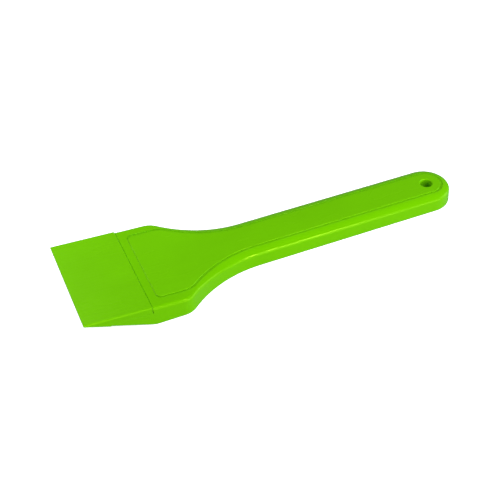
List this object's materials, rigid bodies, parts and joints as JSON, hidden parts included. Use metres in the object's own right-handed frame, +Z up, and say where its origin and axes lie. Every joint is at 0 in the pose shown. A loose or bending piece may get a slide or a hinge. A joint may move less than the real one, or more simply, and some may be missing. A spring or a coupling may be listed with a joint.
{
  "type": "algae scraper",
  "caption": "Flat-handled hand scraper: wide wedge-nosed blade with a fine-grooved top, pushed onto a tray-shaped handle body under an inlaid top panel, with a hanging hole at the round end.",
  "frame": {"origin": "middle of the overall box, on the plane of the flat underside", "axes": "+X along the handle from the scraping edge to the hanging hole, +Y across the blade, +Z up through the top panel"},
  "size_m": [0.2, 0.0574, 0.0123],
  "materials": {
    "body_plastic": "satin",
    "blade_plastic": "satin",
    "panel_plastic": "satin"
  },
  "bodies": {
    "handle": {"handle_body": "body_plastic", "top_panel": "panel_plastic"},
    "blade": {"scraper_blade": "blade_plastic"}
  },
  "joints": [
    {"name": "blade_slide", "type": "slide", "parent": "handle", "child": "blade", "axis": [-0.9984, 0, 0.0558], "range_m": [0, 0.012]}
  ]
}
